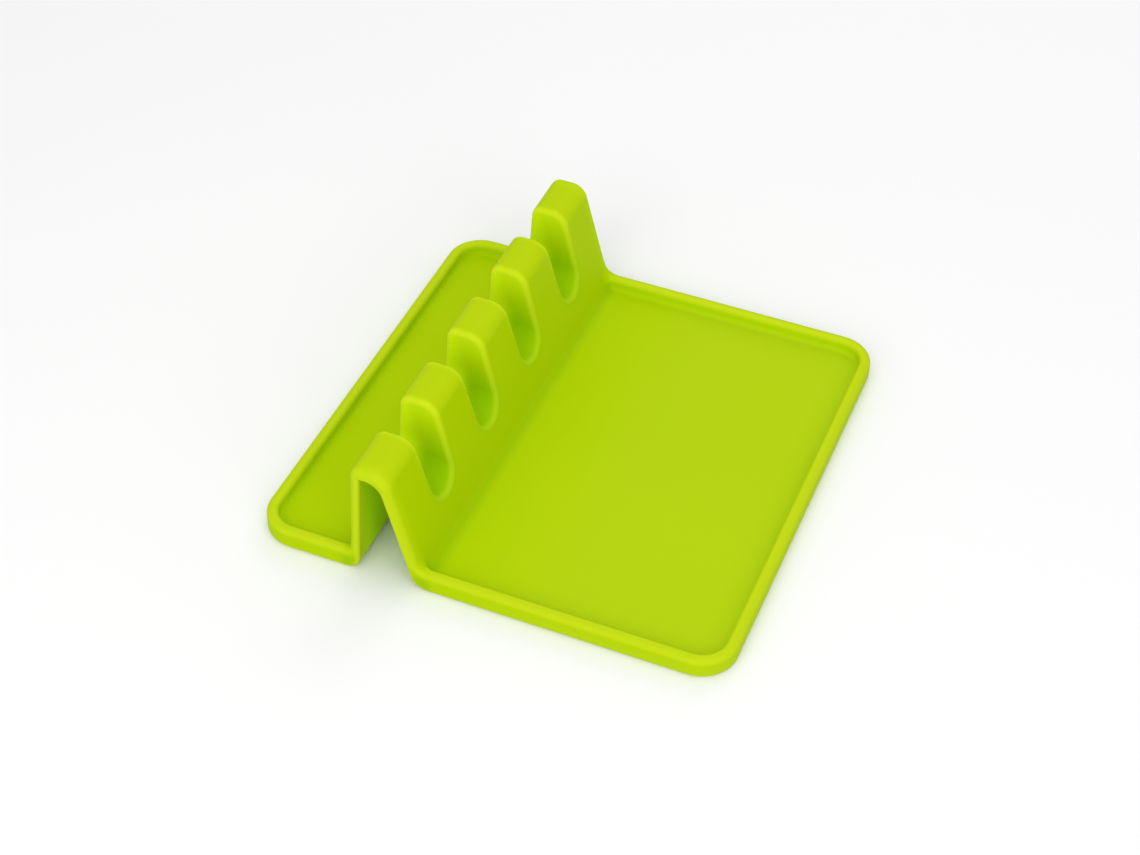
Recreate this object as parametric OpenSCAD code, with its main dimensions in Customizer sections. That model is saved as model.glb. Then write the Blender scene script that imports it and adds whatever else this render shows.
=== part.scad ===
// Spoon rest: a low soft moulding with a wide drip tray, a narrow handle tray and,
// between them, a hollow ridge that four round-bottomed notches cut into five posts.
// Millimetres. +X runs from the narrow tray to the wide one, +Y along the ridge, +Z up.
// The origin lies on the table at the middle of the footprint.
// The real rest is a single moulding: its three regions are kept as three solids that
// meet face to face on two flat planes beside the feet of the ridge.

/* [Overall] */
// Length of the rest along the ridge, from the front rim to the back rim
rest_length = 190; // [160:1:230]
// Clear reach of the wide drip tray, from the foot of the ridge to its outer face
drip_tray_w = 116.5; // [80:0.5:160]
// Clear reach of the narrow handle tray, from the foot of the ridge to its outer face
handle_tray_w = 39.5; // [30:0.5:70]

/* [Trays] */
// Thickness of the tray floors
floor_t = 3; // [2:0.25:4]
// Height of the rim above the table
rim_h = 8.5; // [6.5:0.25:12]
// Width of the rim where it stands above the floor
rim_w = 4.5; // [4.5:0.25:6]
// Radius along both upper edges of the rim
rim_round = 2.1; // [0.5:0.1:2.2]
// Radius of the cove between the rim and the floor
rim_cove = 1.5; // [0.75:0.25:3]
// Radius along the lower outer edge of the trays
under_round = 1; // [0.5:0.1:1.8]
// Radius of the outer corners of both trays, seen from above
tray_corner_r = 14.5; // [10:0.5:20]

/* [Ridge] */
// Height of the ridge above the table
ridge_h = 51; // [40:0.5:65]
// Width across the top of the ridge before its edges are rounded
ridge_top_w = 14; // [12:0.25:17]
// Run of the steep wall on the narrow side, from foot to top
steep_wall_run = 2.5; // [0:0.25:5]
// Run of the sloping wall on the wide side, from foot to top
slope_wall_run = 14; // [10:0.5:18]
// Thickness of the hollow ridge's walls
wall_t = 4; // [3:0.1:4.2]
// Radius of the upper edge on the narrow side
steep_edge_r = 4; // [1:0.1:4.2]
// Radius of the broad shoulder on the wide side
shoulder_r = 5.5; // [4.5:0.25:8]
// Radius of the cove at the foot of the steep wall
steep_cove = 2.5; // [1.5:0.25:5]
// Radius of the cove at the foot of the sloping wall
slope_cove = 4; // [2:0.25:8]
// Radius of the two lower edges along the hollow, under the feet of the ridge
hollow_edge_r = 5; // [3:0.25:7]

/* [Notches] */
// Width of each notch across its round bottom
notch_w = 16; // [12:0.5:20]
// Height of the lowest point of a notch above the table
notch_floor_z = 19; // [14:0.5:24]
// Lean of the notch walls, which part towards the top, in degrees
notch_lean = 2; // [0:0.5:5]

/* [Hidden] */
$fn = 64;
// Four notches part the ridge into five posts of one length.
notch_count = 4;
post_l = (rest_length - notch_count * notch_w) / (notch_count + 1);
notch_pitch = post_l + notch_w;
// Spare reach of a cutting shape past the face that it opens.
over = wall_t;
// Depth by which a rounding shape runs on behind the corner that it rounds.
tuck = floor_t / 4;
// A rounding arc is drawn a hair large, so that it crosses its sides at a clean angle.
arc_share = 1.0005;
// Spread of the ridge's feet on the table and its stations across the width.
foot_w = steep_wall_run + ridge_top_w + slope_wall_run;
total_w = handle_tray_w + foot_w + drip_tray_w;
handle_out_x = -total_w / 2;
steep_foot_x = handle_out_x + handle_tray_w;
steep_top_x = steep_foot_x + steep_wall_run;
slope_top_x = steep_top_x + ridge_top_w;
slope_foot_x = slope_top_x + slope_wall_run;
drip_out_x = slope_foot_x + drip_tray_w;
// The flat planes on which the ridge's feet meet the two tray floors.
handle_cut_x = steep_foot_x - hollow_edge_r - floor_t;
drip_cut_x = slope_foot_x + slope_cove + floor_t;
// Horizontal width of each wall, from its thickness and its slope.
steep_wall_x = wall_t * sqrt(1 + pow(steep_wall_run / ridge_h, 2));
slope_wall_x = wall_t * sqrt(1 + pow(slope_wall_run / ridge_h, 2));
hollow_h = ridge_h - wall_t;
notch_r = notch_w / 2;
notch_centre_z = notch_floor_z + notch_r;

// Point on the steep or the sloping outer face at a height.
function steep_at(z) = [steep_foot_x + steep_wall_run * z / ridge_h, z];
function slope_at(z) = [slope_foot_x - slope_wall_run * z / ridge_h, z];
function unit(v) = v / norm(v);
// Distance from a corner to the points where a round of radius r touches its sides.
function touch(u, v, r) = r / tan(acos(u * v) / 2);
function round_centre(p, u, v, r) = p + unit(u + v) * r / sin(acos(u * v) / 2);

// The curved sliver between a corner and the arc that rounds it: taken away from an
// outer corner, or added in an inner one. It runs on a little behind the corner.
module corner_sliver(p, a, b, r) {
  u = unit(a - p);
  v = unit(b - p);
  d = touch(u, v, r);
  centre = round_centre(p, u, v, r);
  difference() {
    polygon([p + unit(p - centre) * tuck, p + u * d, p + v * d]);
    translate(centre)
      circle(r = r * arc_share);
  }
}

// Outline of the ridge and its feet, filled: x across, y up.
module ridge_outline() {
  steep_base = steep_at(floor_t);
  slope_base = slope_at(floor_t);
  steep_top = steep_at(ridge_h);
  slope_top = slope_at(ridge_h);
  handle_end = [handle_cut_x, floor_t];
  drip_end = [drip_cut_x, floor_t];
  difference() {
    union() {
      polygon([
        [handle_cut_x, 0],
        [drip_cut_x, 0],
        drip_end,
        slope_base,
        slope_top,
        steep_top,
        steep_base,
        handle_end
      ]);
      corner_sliver(steep_base, handle_end, steep_top, steep_cove);
      corner_sliver(slope_base, drip_end, slope_top, slope_cove);
    }
    corner_sliver(steep_top, steep_base, slope_top, steep_edge_r);
    corner_sliver(slope_top, slope_base, steep_top, shoulder_r);
  }
}

// Outline of the hollow under the ridge, open at the table.
module hollow_outline() {
  inset_steep = [steep_wall_x, 0];
  inset_slope = [-slope_wall_x, 0];
  steep_low = steep_at(0) + inset_steep;
  slope_low = slope_at(0) + inset_slope;
  steep_high = steep_at(hollow_h) + inset_steep;
  slope_high = slope_at(hollow_h) + inset_slope;
  difference() {
    union() {
      polygon([steep_low, slope_low, slope_high, steep_high]);
      translate([steep_low[0], -over])
        square([slope_low[0] - steep_low[0], over]);
      corner_sliver(steep_low, handle_side_of(steep_low), steep_high, hollow_edge_r);
      corner_sliver(slope_low, drip_side_of(slope_low), slope_high, hollow_edge_r);
    }
    corner_sliver(slope_high, slope_low, steep_high, shoulder_r - wall_t);
  }
}
function handle_side_of(p) = [p[0] - over, p[1]];
function drip_side_of(p) = [p[0] + over, p[1]];

// Outline of one notch seen along X, widened all round by grow.
module notch_outline(grow) {
  r = notch_r + grow;
  side = [r * cos(notch_lean), -r * sin(notch_lean)];
  top = ridge_h - notch_centre_z + over;
  top_side = side[0] + (top - side[1]) * tan(notch_lean);
  translate([0, notch_centre_z]) {
    circle(r = r * arc_share);
    polygon([[-side[0], side[1]], side, [top_side, top], [-top_side, top]]);
  }
}

// The four notches as bars that run right across the ridge.
module notch_bars(grow) {
  for (i = [0 : notch_count - 1])
    translate([steep_foot_x - over, (i - (notch_count - 1) / 2) * notch_pitch, 0])
      rotate([90, 0, 90])
        linear_extrude(height = foot_w + 2 * over)
          notch_outline(grow);
}

// Section of the rim, its outer face on x = 0 and its inner side towards +x.
module rim_section() {
  difference() {
    union() {
      square([rim_w, rim_h]);
      square([rim_w + rim_cove, floor_t]);
      corner_sliver([rim_w, floor_t], [rim_w + rim_cove, floor_t], [rim_w, rim_h], rim_cove);
    }
    corner_sliver([0, rim_h], [0, 0], [rim_w, rim_h], rim_round);
    corner_sliver([rim_w, rim_h], [0, rim_h], [rim_w, 0], rim_round);
    corner_sliver([0, 0], [0, rim_h], [rim_w, 0], under_round);
  }
}

// A straight run of rim along X on the front edge, from x = from_x to x = to_x.
module front_rim(from_x, to_x) {
  translate([from_x, -rest_length / 2, 0])
    rotate([90, 0, 90])
      linear_extrude(height = to_x - from_x)
        rim_section();
}

module both_rims(from_x, to_x) {
  front_rim(from_x, to_x);
  mirror([0, 1, 0])
    front_rim(from_x, to_x);
}

// A quarter turn of rim round the front outer corner of a tray that reaches to x = reach.
module corner_rim(reach) {
  translate([reach - tray_corner_r, tray_corner_r - rest_length / 2, 0])
    rotate([0, 0, -90])
      rotate_extrude(angle = 90)
        translate([tray_corner_r, 0])
          mirror([1, 0])
            rim_section();
}

// A tray from the plane x = 0 out to x = reach: floor, three rims and two corners.
module tray(reach) {
  side_run = rest_length - 2 * tray_corner_r;
  both_rims(0, reach - tray_corner_r);
  corner_rim(reach);
  mirror([0, 1, 0])
    corner_rim(reach);
  translate([reach, side_run / 2, 0])
    rotate([90, 0, 0])
      linear_extrude(height = side_run)
        mirror([1, 0])
          rim_section();
  linear_extrude(height = floor_t)
    floor_outline(reach - rim_w, rest_length - 2 * rim_w, tray_corner_r - rim_w);
}

// Floor area inside the rims, its two far corners rounded.
module floor_outline(reach, length, corner_r) {
  straight = length - 2 * corner_r;
  translate([0, -length / 2])
    square([reach - corner_r, length]);
  translate([reach - corner_r - corner_r, -straight / 2])
    square([2 * corner_r, straight]);
  for (side = [-1, 1])
    translate([reach - corner_r, side * straight / 2])
      circle(r = corner_r);
}

// Wide tray that catches the drips under the spoon bowls.
module drip_tray() {
  color([0.63, 0.79, 0.05])
    translate([drip_cut_x, 0, 0])
      tray(drip_out_x - drip_cut_x);
}

// Narrow tray under the handles, on the steep side of the ridge.
module handle_tray() {
  color([0.60, 0.76, 0.03])
    translate([handle_cut_x, 0, 0])
      mirror([1, 0, 0])
        tray(handle_cut_x - handle_out_x);
}

// Hollow ridge with its feet: one even wall that follows the notches inside and out.
module notched_ridge() {
  color([0.68, 0.84, 0.10])
    difference() {
      union() {
        translate([0, rest_length / 2, 0])
          rotate([90, 0, 0])
            linear_extrude(height = rest_length)
              ridge_outline();
        both_rims(handle_cut_x, drip_cut_x);
      }
      notch_bars(0);
      difference() {
        translate([0, rest_length / 2 + over, 0])
          rotate([90, 0, 0])
            linear_extrude(height = rest_length + 2 * over)
              hollow_outline();
        notch_bars(wall_t);
      }
    }
}

drip_tray();
handle_tray();
notched_ridge();
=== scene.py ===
# %% [markdown]
# # A spoon rest, from its frame to its looks
# The object is one soft moulding of lime green silicone. A wide tray catches drips, a
# narrow tray lies on the other side, and a hollow ridge between them has four round
# notches for the handles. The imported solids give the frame: where each region lies and
# how large it is. This script rebuilds the moulding with the soft, even skin of the
# real one, and gives it its finish, a floor, lights and the camera of the photograph.

# %% Load the frame
import math

import bmesh
import bpy
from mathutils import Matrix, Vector


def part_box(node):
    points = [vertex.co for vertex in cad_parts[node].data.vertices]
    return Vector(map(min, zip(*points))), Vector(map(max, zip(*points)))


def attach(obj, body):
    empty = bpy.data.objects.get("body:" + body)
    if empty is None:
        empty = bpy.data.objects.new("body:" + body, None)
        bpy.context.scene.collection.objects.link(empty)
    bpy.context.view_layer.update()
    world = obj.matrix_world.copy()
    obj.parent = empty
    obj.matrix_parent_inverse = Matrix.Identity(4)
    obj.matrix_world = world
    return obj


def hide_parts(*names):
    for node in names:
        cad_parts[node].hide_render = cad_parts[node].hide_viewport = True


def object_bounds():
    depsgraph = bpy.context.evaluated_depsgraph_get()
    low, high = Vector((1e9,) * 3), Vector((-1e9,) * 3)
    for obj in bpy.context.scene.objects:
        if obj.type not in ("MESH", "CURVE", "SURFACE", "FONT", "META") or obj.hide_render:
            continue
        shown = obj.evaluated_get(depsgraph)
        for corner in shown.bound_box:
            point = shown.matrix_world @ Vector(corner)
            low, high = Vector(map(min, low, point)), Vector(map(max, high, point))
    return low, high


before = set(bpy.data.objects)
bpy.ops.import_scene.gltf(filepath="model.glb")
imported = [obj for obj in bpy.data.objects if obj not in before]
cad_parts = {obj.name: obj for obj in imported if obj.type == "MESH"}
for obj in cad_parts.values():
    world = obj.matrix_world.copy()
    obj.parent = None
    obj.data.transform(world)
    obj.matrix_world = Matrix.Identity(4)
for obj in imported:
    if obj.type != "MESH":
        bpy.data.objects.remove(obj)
cad_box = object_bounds()
print("solids:", ", ".join(sorted(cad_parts)))

# %% [markdown]
# ## Sizes
# Everything that the frame knows is read from it: how wide, long and high the moulding
# is, and where its regions meet. The rest are the moulding's own sizes, in millimetres
# as a mould maker would write them. The rule that shapes the skin works in millimetres
# too, and only its result is turned into metres.

# %% Where the regions lie
MM = 0.001


def in_mm(corner):
    """A corner of a frame box in millimetres."""
    return [value / MM for value in corner]


drip_low, drip_high = (in_mm(corner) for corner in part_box("drip_tray"))
handle_low, handle_high = (in_mm(corner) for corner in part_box("handle_tray"))
ridge_top = in_mm(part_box("notched_ridge")[1])[2]
handle_cut = handle_high[0]
drip_cut = drip_low[0]
print("cuts at x =", round(handle_cut, 2), "and", round(drip_cut, 2), "mm")

# %% Sizes of the moulding
HANDLE_TRAY_WIDTH = 39.5
STEEP_WALL_RUN = 2.5
RIDGE_TOP_WIDTH = 14.0
SLOPE_WALL_RUN = 14.0

steep_foot = handle_low[0] + HANDLE_TRAY_WIDTH
slope_foot = steep_foot + STEEP_WALL_RUN + RIDGE_TOP_WIDTH + SLOPE_WALL_RUN

SIZES = {
    # the trays and their rim
    "Half width": drip_high[0],
    "Half length": drip_high[1],
    "Corner radius": 14.5,
    "Floor": 3.0,
    "Rim height": drip_high[2],
    "Rim width": 4.5,
    "Rim round": 2.1,
    "Rim cove": 1.5,
    # the outer edge, round the trays and up on the ends of the ridge
    "Edge round": 1.9,
    "End round": 2.8,
    # the ridge between the trays
    "Steep foot": steep_foot,
    "Slope foot": slope_foot,
    "Ridge height": ridge_top,
    "Steep run": STEEP_WALL_RUN,
    "Slope run": SLOPE_WALL_RUN,
    "Steep edge": 4.0,
    "Shoulder": 5.5,
    "Steep cove": 2.5,
    "Slope cove": 4.0,
    # the hollow under the ridge
    "Wall": 4.0,
    "Hollow edge": 5.0,
    "Inner round": 1.3,
    "Inner shoulder": 4.5,
    # the notches
    "Notch width": 16.0,
    "Notch floor": 19.0,
    "Notch pitch": 41.2,
    "Notch lean": 2.0,
    "Notch edge": 1.9,
}
print("ridge from x =", round(steep_foot, 2), "to", round(slope_foot, 2), "mm")

# %% [markdown]
# ## Writing node trees as sums
# Both the shape and the finish are node trees. Their nodes could be added one by one,
# but a tree of some hundred Math nodes is hard to read. So a wire stands for one socket,
# and adding or multiplying wires adds the nodes that do so. A tree then reads as a
# formula.


# %% A wire of a node tree
class Wire:
    """One output socket: arithmetic on it adds Math nodes to its tree."""

    def __init__(self, socket):
        self.socket = socket

    def node(self, kind, settings=None, inputs=None, out=0):
        """Any other node: its settings first, then the values or links of its sockets."""
        made = self.socket.id_data.nodes.new(kind)
        for name, value in (settings or {}).items():
            setattr(made, name, value)
        for name, value in (inputs or {}).items():
            if isinstance(value, Wire):
                self.socket.id_data.links.new(value.socket, made.inputs[name])
            else:
                made.inputs[name].default_value = value
        return Wire(made.outputs[out])

    def maths(self, operation, *others):
        """A Math node on this wire and the others."""
        inputs = dict(enumerate((self, *others)))
        return self.node("ShaderNodeMath", {"operation": operation}, inputs)

    def __add__(self, other):
        return self.maths("ADD", other)

    __radd__ = __add__

    def __mul__(self, other):
        return self.maths("MULTIPLY", other)

    __rmul__ = __mul__

    def __sub__(self, other):
        return self.maths("SUBTRACT", other)

    def __rsub__(self, other):
        return (-self).maths("ADD", other)

    def __truediv__(self, other):
        return self.maths("DIVIDE", other)

    def __neg__(self):
        return self.maths("MULTIPLY", -1.0)

    def __abs__(self):
        return self.maths("ABSOLUTE")

    def least(self, other):
        """The lower of two values."""
        return self.maths("MINIMUM", other)

    def most(self, other):
        """The higher of two values."""
        return self.maths("MAXIMUM", other)

    def ramp(self, low, high):
        """0 where this is low, 1 where it is high, soft in between."""
        return self.node("ShaderNodeMapRange", {"interpolation_type": "SMOOTHSTEP"},
                         {"Value": self, "From Min": low, "From Max": high})


def length_of(a, b):
    """Length of the arrow with the sides a and b."""
    return (a * a + b * b).maths("SQRT")


# %% [markdown]
# ## The rule of the moulding
# A mould has no joined pieces: its skin is one surface. It could be modelled as a
# subdivided mesh, but then each place where two forms cross needs care by hand. So the
# shape is written as one rule that gives, for any point, its distance to the skin,
# negative inside. Planes and circles give the plain forms. Two forms are joined or cut
# with an edge of a stated radius, because a silicone moulding has hardly a sharp corner.


# %% Rounded cuts and joins
def shared(a, b, radius):
    """What two forms share, with the edge between them rounded."""
    past_a = (a + radius).most(0.0)
    past_b = (b + radius).most(0.0)
    return a.most(b).least(-radius) + length_of(past_a, past_b)


def joined(a, b, radius):
    """Two forms as one, with a cove between them."""
    return -shared(-a, -b, radius)


# %% The outline, seen from above
def outline_of(x, y, size):
    """Distance to the rounded outline of both trays."""
    past_x = abs(x) - (size["Half width"] - size["Corner radius"])
    past_y = abs(y) - (size["Half length"] - size["Corner radius"])
    beyond = length_of(past_x.most(0.0), past_y.most(0.0))
    return beyond + past_x.most(past_y).least(0.0) - size["Corner radius"]


print("outline:", round(2 * drip_high[0], 1), "x", round(2 * drip_high[1], 1), "mm")


# %% The ridge, seen from its end
def ridge_of(x, z, size):
    """Distances to the steep face, the sloping face and the top of the ridge."""
    steep = size["Steep run"] / size["Ridge height"]
    slope = size["Slope run"] / size["Ridge height"]
    steep_face = (size["Steep foot"] - x + z * steep) / (steep * steep + 1.0).maths("SQRT")
    slope_face = (x - size["Slope foot"] + z * slope) / (slope * slope + 1.0).maths("SQRT")
    return steep_face, slope_face, z - size["Ridge height"]


steep_lean = math.degrees(math.atan2(STEEP_WALL_RUN, ridge_top))
slope_lean = math.degrees(math.atan2(SLOPE_WALL_RUN, ridge_top))
print("faces lean by", round(steep_lean, 1), "and", round(slope_lean, 1), "degrees")

# %% The notches, seen along the width
# They are numbered in pitches from the middle, and lie half a pitch beyond each number.
NOTCH_NUMBERS = (-2.0, -1.0, 0.0, 1.0)
DEGREE = math.pi / 180.0


def notches_of(y, z, size):
    """Distance to the nearest notch: a round floor between two sides that lean out."""
    radius = size["Notch width"] * 0.5
    nearest = (y / size["Notch pitch"] - 0.5).maths("ROUND")
    nearest = nearest.most(NOTCH_NUMBERS[0]).least(NOTCH_NUMBERS[-1])
    beside = abs(y - (nearest + 0.5) * size["Notch pitch"])
    above = z - size["Notch floor"] - radius
    lean = size["Notch lean"] * DEGREE
    run, rise = lean.maths("SINE"), lean.maths("COSINE")
    across = beside * rise - above * run
    along = (beside * run + above * rise).least(0.0)
    return length_of(across, along) - radius


notch_places = [round((number + 0.5) * SIZES["Notch pitch"], 1) for number in NOTCH_NUMBERS]
print("notches at y =", notch_places, "mm")


# %% All forms together
def forms_at(x, y, z, size):
    """Distances from a place to each form of the moulding."""
    steep_face, slope_face, top = ridge_of(x, z, size)
    notches = notches_of(y, z, size)
    steep_side = shared(steep_face, top, size["Steep edge"])
    ridge = steep_side.most(shared(slope_face, top, size["Shoulder"]))
    core = steep_side.most(shared(slope_face, top, size["Inner shoulder"] + size["Wall"]))
    hollow = shared(core + size["Wall"], size["Wall"] - notches, size["Inner round"])
    return {"outline": outline_of(x, y, size), "steep": steep_face, "top": top,
            "ridge": ridge, "notches": notches, "hollow": hollow}


# %% The skin
# The edge is as round as it gets from a third of the ridge's height upwards.
EDGE_GROWTH = 3.0


def trays_of(outline, z, size):
    """Distance to the tray floors and the rim that runs round them."""
    rim = shared(-(outline + size["Rim width"]), z - size["Rim height"], size["Rim round"])
    return joined(z - size["Floor"], rim, size["Rim cove"])


def skin_distance(form, x, z, size):
    """Distance to the skin: trays and ridge, cut by outline, notches and hollow."""
    drip_side = x.maths("GREATER_THAN", (size["Steep foot"] + size["Slope foot"]) * 0.5)
    cove = size["Steep cove"] + (size["Slope cove"] - size["Steep cove"]) * drip_side
    body = joined(trays_of(form["outline"], z, size), form["ridge"], cove)
    rise = (z / size["Ridge height"] * EDGE_GROWTH).most(0.0).least(1.0)
    edge = size["Edge round"] + (size["End round"] - size["Edge round"]) * rise
    body = shared(body, form["outline"], edge)
    body = shared(body, -form["notches"], size["Notch edge"])
    open_below = shared(-z, -form["hollow"], size["Hollow edge"])
    return shared(body, open_below, size["Inner round"])


# %% [markdown]
# ## Where the rule says light and shade are painted
# Light goes a little way into silicone. Where the moulding is thin or rounded, light
# leaves it again and the place glows. This glow is painted into the base colour: on the
# shoulder of the rim, just behind the ends of the ridge, on the notch faces near the top
# and the steep side, and inside the hollow. The rest of a notch face and the folds get
# painted shade. This could be painted by hand, but the rule already knows how far each
# place is from each form, so it answers with numbers.

# %% Bands of the answers
# Each band gives the distances in millimetres at which a ramp starts and ends.
OFF_NOTCH_FACE = (1.0, 3.5)
OFF_SHOULDER = (1.0, 3.0)
CLEAR_OF_RIDGE = (1.0, 3.0)
CLEAR_OF_FLOOR = (0.1, 1.5)
BEHIND_END = (0.5, 2.5)
FAR_FROM_END = (2.5, 8.0)
OVER_RIM = (0.0, 6.0)
OFF_STEEP_SIDE = (0.0, 12.0)
OFF_PAINTED_SIDE_GLOW = (3.0, 13.0)
BELOW_TOP = (0.0, 18.0)
DOWN_TO_PAINTED_NOTCH_SHADE = (12.0, 26.0)
DOWN_TO_PAINTED_SIDE_GLOW = (14.0, 24.0)
OFF_HOLLOW_FACE = (0.1, 1.2)
INTO_HOLLOW = (1.0, 10.0)

# The shares say how strong a painted glow is beside that of a notch face at the
# steep side.
TOP_SHARE = 0.6
RIM_SHARE = 0.5
END_SHARE = 0.25


# %% Answers for the painted light and shade
def at_rim(form, z, size):
    """1 on the inner shoulder of the rim, clear of the ridge and the floor."""
    shoulder = 1 - abs(form["outline"] + size["Rim width"]).ramp(*OFF_SHOULDER)
    clear = form["ridge"].ramp(*CLEAR_OF_RIDGE)
    return shoulder * clear * (z - size["Floor"]).ramp(*CLEAR_OF_FLOOR)


def at_end(form, z, size):
    """1 on the ridge a few millimetres behind its end faces."""
    inward = -form["outline"]
    band = (1 - inward.ramp(*FAR_FROM_END)) * inward.ramp(*BEHIND_END)
    return band * (z - size["Rim height"]).ramp(*OVER_RIM)


def painted_light_and_shade(form, z, size):
    """How much each painted light and shade shows at a place. Fold is a distance in millimetres.
    """
    past_steep = -form["steep"]
    down = -form["top"]
    notch_face = 1 - abs(form["notches"]).ramp(*OFF_NOTCH_FACE)
    near_top = (1 - down.ramp(*BELOW_TOP)) * TOP_SHARE
    # Painted glow on a notch face: strongest near the steep side and near the top.
    lit = (1 - past_steep.ramp(*OFF_STEEP_SIDE)).most(near_top)
    painted_glow = (notch_face * lit).most(at_rim(form, z, size) * RIM_SHARE)
    # Painted side glow: low on a notch face, near the steep side.
    side = notch_face * (1 - past_steep.ramp(*OFF_PAINTED_SIDE_GLOW))
    return {
        # Painted light inside the hollow, near its faces.
        "Inside": (1 - form["hollow"].ramp(*OFF_HOLLOW_FACE))
                  * (-form["outline"]).ramp(*INTO_HOLLOW),
        # The distance from a fold sets where the painted shade in the folds lies.
        "Fold": abs(form["ridge"]).most(abs(z - size["Floor"])),
        "Painted glow": painted_glow.most(at_end(form, z, size) * END_SHARE),
        # Painted shade low on a notch face, where its painted glow is weak.
        "Depth": notch_face * (1 - lit) * down.ramp(*DOWN_TO_PAINTED_NOTCH_SHADE),
        "Side": side * down.ramp(*DOWN_TO_PAINTED_SIDE_GLOW),
    }


# %% [markdown]
# ## The rule as a node group
# The rule is needed many times, so it becomes a group with one input for the place and
# one for each size. A second group walks a point to the skin: it asks the rule how far
# away the skin is and in which direction, and moves the point by that much. The rule
# has no slope of its own, so it is asked a small step to either side on each axis.


# %% Sockets of a group
def new_tree(name):
    """An empty tree of Geometry Nodes and its outer sockets."""
    tree = bpy.data.node_groups.new(name, "GeometryNodeTree")
    return tree, tree.interface


def add_socket(outer, name, kind, way="INPUT"):
    """One more input or output of a tree."""
    return outer.new_socket(name, in_out=way, socket_type="NodeSocket" + kind)


def add_sizes(outer):
    """An input for each size of the moulding."""
    for name, value in SIZES.items():
        add_socket(outer, name, "Float").default_value = value


def wires_of(entry, names):
    """The named inputs of a tree as wires."""
    return {name: Wire(entry.outputs[name]) for name in names}


# %% The rule's group
ANSWERS = ("Inside", "Fold", "Painted glow", "Depth", "Side")


def rule_group():
    """The group that gives the distance to the skin and the answers for painted light and shade.
    """
    tree, outer = new_tree("Distance to the skin")
    add_socket(outer, "Place", "Vector")
    add_sizes(outer)
    for name in ("Distance", *ANSWERS):
        add_socket(outer, name, "Float", "OUTPUT")
    entry = tree.nodes.new("NodeGroupInput")
    size = wires_of(entry, SIZES)
    split = tree.nodes.new("ShaderNodeSeparateXYZ")
    tree.links.new(entry.outputs["Place"], split.inputs[0])
    x, y, z = (Wire(socket) / MM for socket in split.outputs)
    form = forms_at(x, y, z, size)
    results = {"Distance": skin_distance(form, x, z, size), **painted_light_and_shade(form, z, size)}
    leave = tree.nodes.new("NodeGroupOutput")
    for name, wire in results.items():
        tree.links.new(wire.socket, leave.inputs[name])
    return tree


RULE = rule_group()
print("nodes in the rule:", len(RULE.nodes))


# %% Ask the rule
def ask_rule(place, size, offset=(0.0, 0.0, 0.0), answer="Distance"):
    """What the rule says about a place, moved by an offset."""
    moved = place.node("ShaderNodeVectorMath", {"operation": "ADD"}, {0: place, 1: offset})
    return place.node("GeometryNodeGroup", {"node_tree": RULE}, {"Place": moved, **size},
                      out=answer)


# %% The walk to the skin
STEP = 0.05 * MM
AXES = [Vector(axis) for axis in ((1, 0, 0), (0, 1, 0), (0, 0, 1))]


def walk_group():
    """The group that moves a place onto the skin."""
    tree, outer = new_tree("Walk to the skin")
    add_socket(outer, "Place", "Vector")
    add_sizes(outer)
    add_socket(outer, "Place", "Vector", "OUTPUT")
    entry = tree.nodes.new("NodeGroupInput")
    size = wires_of(entry, SIZES)
    place = Wire(entry.outputs["Place"])
    here = ask_rule(place, size)
    rises = [ask_rule(place, size, axis * STEP) - ask_rule(place, size, -axis * STEP)
             for axis in AXES]
    rise = place.node("ShaderNodeCombineXYZ", inputs=dict(enumerate(rises)))
    way = place.node("ShaderNodeVectorMath", {"operation": "NORMALIZE"}, {0: rise})
    walk = place.node("ShaderNodeVectorMath", {"operation": "SCALE"},
                      {0: way, "Scale": here * -MM})
    end = place.node("ShaderNodeVectorMath", {"operation": "ADD"}, {0: place, 1: walk})
    leave = tree.nodes.new("NodeGroupOutput")
    tree.links.new(end.socket, leave.inputs["Place"])
    return tree


WALK = walk_group()
print("nodes in the walk:", len(WALK.nodes))

# %% [markdown]
# ## The skin
# A block of small cells around the moulding is filled with the rule's distances, and
# the surface where they pass through zero becomes a mesh. Its points lie close to the
# skin but not on it, so they are evened out and then walked onto it. Last, the tree
# stores the rule's answers at each point, and how sharply the skin bends there. Bends
# could be found from the mesh as well, but the rule gives them without noise.

# %% How sharply the skin bends
BEND_REACH = 1.2


def bend_at(place, size):
    """Above zero at edges and below it in coves: the rule around a place, less there."""
    reach = BEND_REACH * MM
    around = [ask_rule(place, size, axis * side * reach) for axis in AXES for side in (1, -1)]
    total = sum(around[1:], around[0])
    return (total - ask_rule(place, size) * len(around)) / BEND_REACH ** 2


# %% From cells to a mesh
# Cells hold the level less the distance, because outside the block a volume counts as 0.
LEVEL = 1.0


def rough_skin(place, size, given):
    """A mesh close to the skin, from the cells of a block."""
    block = place.node("GeometryNodeVolumeCube", inputs={
        "Density": LEVEL - ask_rule(place, size), "Min": given["Low corner"],
        "Max": given["High corner"], "Resolution X": given["Cells X"],
        "Resolution Y": given["Cells Y"], "Resolution Z": given["Cells Z"]})
    return place.node("GeometryNodeVolumeToMesh", {"resolution_mode": "GRID"},
                      {"Volume": block, "Threshold": LEVEL})


# %% From the mesh to the skin
EVENINGS = 2
WALKS = 3


def moved_to(mesh, places):
    """The mesh with its points at new places."""
    return mesh.node("GeometryNodeSetPosition", inputs={"Geometry": mesh, "Position": places})


def walked_skin(place, size, mesh):
    """The mesh with its points evened out and then walked onto the skin."""
    evened = place.node("GeometryNodeBlurAttribute", {"data_type": "FLOAT_VECTOR"},
                        {"Value": place, "Iterations": EVENINGS})
    mesh = moved_to(mesh, evened)
    walked = place.node("GeometryNodeGroup", {"node_tree": WALK}, {"Place": place, **size})
    for _ in range(WALKS):
        mesh = moved_to(mesh, walked)
    return mesh


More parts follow.
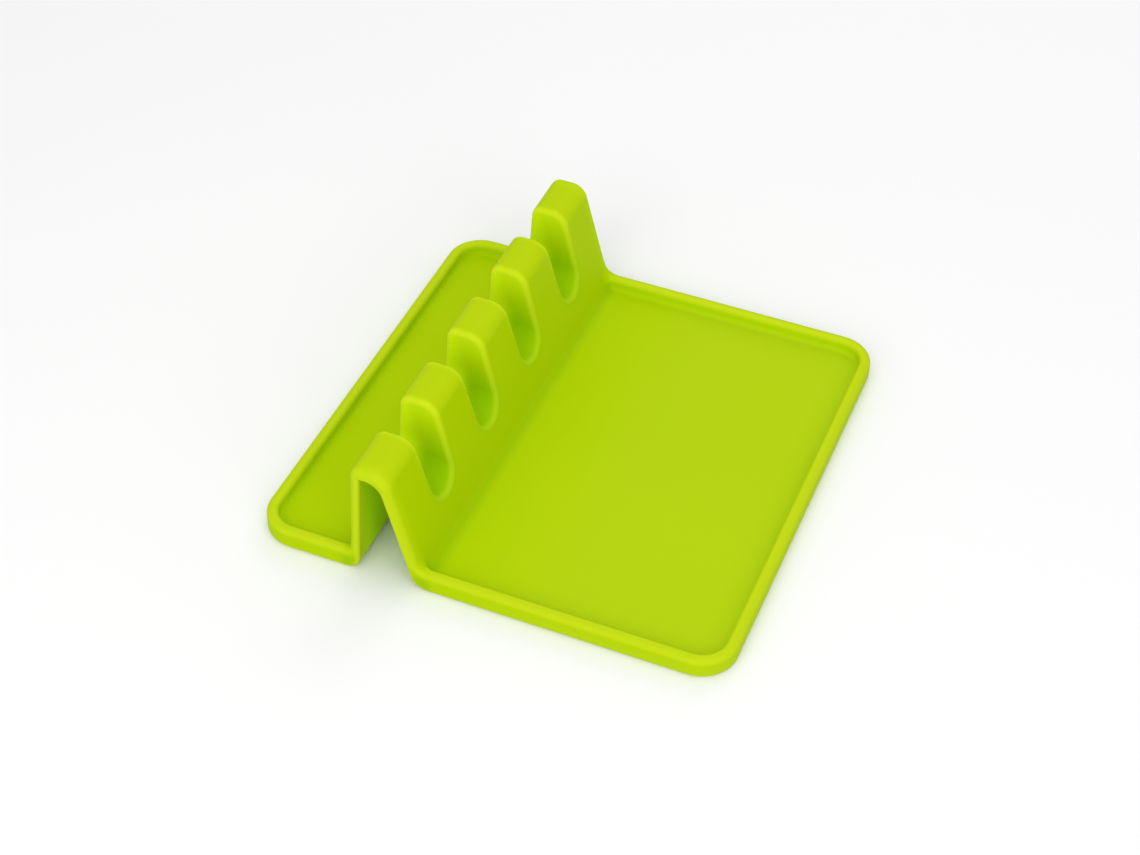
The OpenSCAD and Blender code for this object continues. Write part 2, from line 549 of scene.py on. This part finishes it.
def marked_skin(place, size, mesh):
    """The mesh with the bend and the rule's answers stored at each point."""
    marks = {"Bend": bend_at(place, size)}
    for name in ANSWERS:
        marks[name] = ask_rule(place, size, answer=name)
    for name, value in marks.items():
        mesh = mesh.node("GeometryNodeStoreNamedAttribute", {"data_type": "FLOAT"},
                         {"Geometry": mesh, "Name": name, "Value": value})
    return mesh


# %% The tree that grows the skin
BLOCK_INPUTS = {"Low corner": "Vector", "High corner": "Vector", "Cells X": "Int",
                "Cells Y": "Int", "Cells Z": "Int", "Finish": "Material"}


def skin_tree():
    """Sizes, a block of cells and a finish in, the skin as a smooth mesh out."""
    tree, outer = new_tree("Moulded skin")
    add_sizes(outer)
    for name, kind in BLOCK_INPUTS.items():
        add_socket(outer, name, kind)
    add_socket(outer, "Mesh", "Geometry", "OUTPUT")
    entry = tree.nodes.new("NodeGroupInput")
    size = wires_of(entry, SIZES)
    given = wires_of(entry, BLOCK_INPUTS)
    place = Wire(tree.nodes.new("GeometryNodeInputPosition").outputs[0])
    mesh = rough_skin(place, size, given)
    mesh = walked_skin(place, size, mesh)
    mesh = marked_skin(place, size, mesh)
    mesh = mesh.node("GeometryNodeSetShadeSmooth", inputs={"Geometry": mesh})
    mesh = mesh.node("GeometryNodeRealizeInstances", inputs={"Geometry": mesh})
    mesh = mesh.node("GeometryNodeSetMaterial",
                     inputs={"Geometry": mesh, "Material": given["Finish"]})
    leave = tree.nodes.new("NodeGroupOutput")
    tree.links.new(mesh.socket, leave.inputs["Mesh"])
    return tree


# %% What goes into the tree
CELL = 0.8
MARGIN = 3.0


def on_grid(side, margin):
    """A side of the CAD box moved out by a margin, to the nearest cell."""
    return round((side / MM + margin) / CELL) * CELL


def tree_values(finish):
    """The value of each input of the skin's tree."""
    low = [on_grid(side, -MARGIN) for side in cad_box[0]]
    high = [on_grid(side, MARGIN) for side in cad_box[1]]
    given = dict(SIZES)
    given["Low corner"] = Vector(low) * MM
    given["High corner"] = Vector(high) * MM
    given["Finish"] = finish
    for axis, bottom, top in zip("XYZ", low, high):
        given["Cells " + axis] = round((top - bottom) / CELL) + 1
    return given


def grown_skin(finish):
    """The whole moulding as one plain mesh."""
    holder = bpy.data.objects.new("moulding", bpy.data.meshes.new("moulding"))
    bpy.context.collection.objects.link(holder)
    grow = holder.modifiers.new("Moulded skin", "NODES")
    grow.node_group = skin_tree()
    given = tree_values(finish)
    for socket in grow.node_group.interface.items_tree:
        if socket.in_out == "INPUT":
            grow[socket.identifier] = given[socket.name]
    seen = holder.evaluated_get(bpy.context.evaluated_depsgraph_get())
    mesh = bpy.data.meshes.new_from_object(seen)
    holder.modifiers.remove(grow)
    bpy.data.objects.remove(holder)
    return mesh


# %% [markdown]
# ## Lime green silicone
# Silicone is coloured right through, a little see-through and nearly matt, with faint
# clouds of lighter green and a fine grain. Edges, the ridge's top, notch faces and the
# hollow get painted light and highlights, paler than the flats, and folds get painted
# shade. Subsurface scattering could give that, but it darkens the flat cuts between the
# regions. So the base colour gives it: it starts with the colour of the flats, and the
# tree's answers mix in one tint after another. The wide tray's floor gets a painted sheen.

# %% Colours
FLAT_COLOUR = (0.42, 0.595, 0.0005, 1.0)
CLOUD_COLOUR = (0.45, 0.615, 0.003, 1.0)
# Painted reflection: a paler, whiter sheen on the floor of the wide tray.
PAINTED_SHEEN_COLOUR = (0.45, 0.6, 0.013, 1.0)
# Painted shade in the folds at the feet of the rim and the ridge.
PAINTED_CREASE_SHADE_COLOUR = (0.33, 0.52, 0.0005, 1.0)
# Painted shade deep on the notch faces.
PAINTED_NOTCH_SHADE_COLOUR = (0.33, 0.575, 0.0005, 1.0)
# Painted glow of light that comes out of the silicone at thin and rounded places.
PAINTED_GLOW_COLOUR = (0.555, 0.76, 0.003, 1.0)
# Painted glow low on the notch faces near the steep side.
PAINTED_SIDE_GLOW_COLOUR = (0.7, 0.92, 0.003, 1.0)
# Painted highlight on the edges and on the ridge's top.
PAINTED_HIGHLIGHT_COLOUR = (0.61, 0.685, 0.022, 1.0)
# Painted light inside the hollow.
PAINTED_HOLLOW_LIGHT_COLOUR = (0.48, 0.76, 0.002, 1.0)

# These tints never cover the colour below them fully. A share says how much they do.
CLOUD_SHARE = 0.3
PAINTED_SHEEN_SHARE = 0.35
PAINTED_EDGE_HIGHLIGHT_SHARE = 0.4
PAINTED_CROWN_HIGHLIGHT_SHARE = 0.15

# %% A tint over a colour
# These are the colour sockets of a Mix node. Its other sockets bear the same names.
MIX_SHARE = 0
MIX_FROM = 6
MIX_TO = 7
MIX_RESULT = 2


def mixed(share, start, tint):
    """A colour with a share of a tint over it."""
    return share.node("ShaderNodeMix", {"data_type": "RGBA"},
                      {MIX_SHARE: share, MIX_FROM: start, MIX_TO: tint}, out=MIX_RESULT)


# %% Where the painted light and shade lie
# The painted sheen is a paler veil on the floor of the wide tray, and the painted crown
# highlight lies on the ridge's top. Both are given in metres, the way from a fold for the
# painted crease shade in millimetres, and the bend of an edge for the painted highlight
# per millimetre.
PAINTED_SHEEN_ACROSS = (-0.012, 0.03)
ABOVE_PAINTED_SHEEN = (0.003, 0.006)
PAINTED_CROWN_HIGHLIGHT_HEIGHT = (0.044, 0.051)
OFF_FOLD = (0.8, 5.0)
EDGE_BEND = (0.05, 0.6)


def stored(place, name):
    """A number that the skin's tree stored at each of its points."""
    return place.node("ShaderNodeAttribute", {"attribute_name": name}, out="Fac")


def silicone_colour_with_painted_light(place, haze):
    """The flats' colour with the clouds and each painted light and shade over it in turn."""
    x, _, z = (place.node("ShaderNodeSeparateXYZ", inputs={0: place}, out=axis)
               for axis in range(3))
    # Painted sheen on the floor of the wide tray, low down and towards the drip side.
    painted_sheen = x.ramp(*PAINTED_SHEEN_ACROSS) * (1 - z.ramp(*ABOVE_PAINTED_SHEEN))
    # Painted highlight on edges, where the skin bends sharply, and on the ridge's top.
    edge = stored(place, "Bend").ramp(*EDGE_BEND) * PAINTED_EDGE_HIGHLIGHT_SHARE
    painted_crown_highlight = z.ramp(*PAINTED_CROWN_HIGHLIGHT_HEIGHT) * PAINTED_CROWN_HIGHLIGHT_SHARE
    # The clouds are the silicone's own tone. Every later tint is painted light or shade.
    tints = ((haze * CLOUD_SHARE, CLOUD_COLOUR),
             (painted_sheen * PAINTED_SHEEN_SHARE, PAINTED_SHEEN_COLOUR),
             (1 - stored(place, "Fold").ramp(*OFF_FOLD), PAINTED_CREASE_SHADE_COLOUR),
             (stored(place, "Depth"), PAINTED_NOTCH_SHADE_COLOUR),
             (stored(place, "Painted glow"), PAINTED_GLOW_COLOUR),
             (stored(place, "Side"), PAINTED_SIDE_GLOW_COLOUR),
             (edge.most(painted_crown_highlight), PAINTED_HIGHLIGHT_COLOUR),
             (stored(place, "Inside"), PAINTED_HOLLOW_LIGHT_COLOUR))
    colour = FLAT_COLOUR
    for share, tint in tints:
        colour = mixed(share, colour, tint)
    return colour


# %% The finish
ROUGHNESS = 0.5
ROUGHNESS_CHANGE = 0.08
REFRACTION = 1.41
GLOSS = 0.02
CLOUDS = {"Scale": 14.0, "Detail": 3.0, "Roughness": 0.5}
CLOUD_BAND = (0.35, 0.75)
GRAIN = {"Scale": 900.0, "Detail": 2.0, "Roughness": 0.6}
GRAIN_STRENGTH = 0.05
GRAIN_DEPTH = 0.2 * MM


def noise(place, kind):
    """Soft spots without a pattern: a higher scale gives smaller ones."""
    return place.node("ShaderNodeTexNoise", inputs={"Vector": place, **kind})


def silicone():
    """The one material of the moulding."""
    material = bpy.data.materials.new("lime silicone")
    material.use_nodes = True
    tree = material.node_tree
    shader = tree.nodes["Principled BSDF"]
    place = Wire(tree.nodes.new("ShaderNodeTexCoord").outputs["Object"])
    haze = noise(place, CLOUDS).ramp(*CLOUD_BAND)
    grain = noise(place, GRAIN)
    bump = place.node("ShaderNodeBump", inputs={
        "Strength": GRAIN_STRENGTH, "Distance": GRAIN_DEPTH, "Height": grain})
    varying = {"Base Color": silicone_colour_with_painted_light(place, haze),
               "Roughness": ROUGHNESS + (haze - 0.5) * ROUGHNESS_CHANGE,
               "Normal": bump}
    for name, wire in varying.items():
        tree.links.new(wire.socket, shader.inputs[name])
    shader.inputs["IOR"].default_value = REFRACTION
    shader.inputs["Specular IOR Level"].default_value = GLOSS
    return material


lime = silicone()
print("nodes in the finish:", len(lime.node_tree.nodes))

# %% Grow the skin
skin = grown_skin(lime)
print("skin:", len(skin.vertices), "points,", len(skin.polygons), "faces")

# %% [markdown]
# ## Three regions of one skin
# The frame keeps the moulding as three solids that meet on two flat planes. Each region
# could be grown by itself, but then the borders would hardly match. So the one skin is
# cut on the same planes, each cut is closed with a flat face, and its border is kept
# sharp. The regions then shade as one surface, and no line shows where they meet.

# %% Cut the skin into the frame's regions
SAME_PLACE = 1e-7
CUBIC_CM = 1e-6


def cut_open(cut, x, side):
    """Keep one side of the plane at x, and close the skin there with a flat face."""
    everything = list(cut.verts) + list(cut.edges) + list(cut.faces)
    made = bmesh.ops.bisect_plane(
        cut, geom=everything, dist=SAME_PLACE, plane_co=(x * MM, 0.0, 0.0),
        plane_no=(-side, 0.0, 0.0), clear_outer=True)
    border = [part for part in made["geom_cut"] if isinstance(part, bmesh.types.BMEdge)]
    caps = bmesh.ops.holes_fill(cut, edges=border)["faces"]
    for part in list(caps) + border:
        part.smooth = False


def region(name, planes):
    """The skin between planes, each given as its x in millimetres and the side to keep."""
    cut = bmesh.new()
    cut.from_mesh(skin)
    for x, side in planes:
        cut_open(cut, x, side)
    mesh = bpy.data.meshes.new(name)
    cut.to_mesh(mesh)
    mesh.materials.append(lime)
    print(name, len(mesh.polygons), "faces, closed:", all(part.is_manifold for part in cut.edges),
          round(cut.calc_volume() / CUBIC_CM, 2), "cm3")
    cut.free()
    piece = bpy.data.objects.new(name, mesh)
    bpy.context.collection.objects.link(piece)
    return piece


# %% The three pieces
REGIONS = {
    "silicone_drip_tray": ("drip_tray", [(drip_cut, 1)]),
    "silicone_handle_tray": ("handle_tray", [(handle_cut, -1)]),
    "silicone_notched_ridge": ("notched_ridge", [(handle_cut, 1), (drip_cut, -1)]),
}
for name, (node, planes) in REGIONS.items():
    piece = region(name, planes)
    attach(piece, "root")
    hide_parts(node)
bpy.data.meshes.remove(skin)

# %% [markdown]
# ## Floor, light and camera
# The photograph is a product shot on white, so bright from all sides that no shadow
# shows. A lamp alone would give hard shadows. A large pale floor, a bright world and
# four broad, weak lights give the same evenness, with the front and the right a little
# brighter. The camera was found by fitting the outline of the trays and the corners of
# the ridge in the photograph.

# %% Floor
FLOOR_REACH = 6.0
FLOOR_COLOUR = (0.9, 0.9, 0.9, 1.0)
FLOOR_ROUGHNESS = 0.9


def pale_floor():
    """One square of paper, far wider than any view of the object."""
    mesh = bpy.data.meshes.new("floor")
    corners = [(-1, -1), (1, -1), (1, 1), (-1, 1)]
    mesh.from_pydata([(x * FLOOR_REACH, y * FLOOR_REACH, 0.0) for x, y in corners], [],
                     [(0, 1, 2, 3)])
    floor = bpy.data.objects.new("floor", mesh)
    bpy.context.collection.objects.link(floor)
    paper = bpy.data.materials.new("pale floor")
    paper.use_nodes = True
    shader = paper.node_tree.nodes["Principled BSDF"]
    shader.inputs["Base Color"].default_value = FLOOR_COLOUR
    shader.inputs["Roughness"].default_value = FLOOR_ROUGHNESS
    mesh.materials.append(paper)
    return floor


print("floor:", [round(side, 2) for side in pale_floor().dimensions], "m")

# %% Lights
# Each line says where a disc of light hangs, in metres, and gives its watts.
LIGHTS = {
    "top": ((0.0, 0.0, 1.4), 3.2),
    "front": ((-0.1, -1.15, 0.75), 4.8),
    "right": ((0.85, -0.85, 0.75), 3.9),
    "back": ((0.0, 1.15, 0.75), 2.5),
}
LIGHT_WIDTH = 1.0


def soft_light(name, where, watts):
    """A broad disc of light that faces the middle of the floor."""
    lamp = bpy.data.lights.new(name, "AREA")
    lamp.shape = "DISK"
    lamp.size = LIGHT_WIDTH
    lamp.energy = watts
    light = bpy.data.objects.new(name, lamp)
    light.location = where
    light.rotation_euler = (-Vector(where)).to_track_quat("-Z", "Y").to_euler()
    bpy.context.collection.objects.link(light)


for name, (where, watts) in LIGHTS.items():
    soft_light(name, where, watts)
    print("light", name, watts, "W")

# %% Even light from all around
WORLD_COLOUR = (1.0, 1.0, 1.0, 1.0)
WORLD_STRENGTH = 0.67

world = bpy.data.worlds.new("studio")
world.use_nodes = True
background = world.node_tree.nodes["Background"]
background.inputs["Color"].default_value = WORLD_COLOUR
background.inputs["Strength"].default_value = WORLD_STRENGTH
bpy.context.scene.world = world
bpy.context.scene.view_settings.view_transform = "Standard"
print("world strength", WORLD_STRENGTH)

# %% Camera
# The target and the distance to it are in millimetres, the angles in degrees.
PHOTO_WIDTH = 1140
FOCAL_PIXELS = 2143.4
AZIMUTH = 21.39
ELEVATION = 43.21
ROLL = 1.32
TARGET = (-7.31, 7.08, 0.0)
DISTANCE = 849.0
SENSOR_WIDTH = 36.0
NEAREST_SEEN = 0.05


def photo_camera():
    """The camera of the photograph, looking at its target."""
    turn = math.radians(AZIMUTH)
    rise = math.radians(ELEVATION)
    back = Vector((math.sin(turn) * math.cos(rise), -math.cos(turn) * math.cos(rise),
                   math.sin(rise)))
    lens = bpy.data.cameras.new("camera")
    lens.sensor_width = SENSOR_WIDTH
    lens.lens = FOCAL_PIXELS / PHOTO_WIDTH * SENSOR_WIDTH
    lens.clip_start = NEAREST_SEEN
    camera = bpy.data.objects.new("camera", lens)
    camera.location = (Vector(TARGET) + back * DISTANCE) * MM
    camera.rotation_euler = back.to_track_quat("Z", "Y").to_euler()
    camera.rotation_euler.rotate_axis("Z", math.radians(ROLL))
    bpy.context.collection.objects.link(camera)
    bpy.context.scene.camera = camera
    print("lens", round(lens.lens, 2), "mm")


photo_camera()
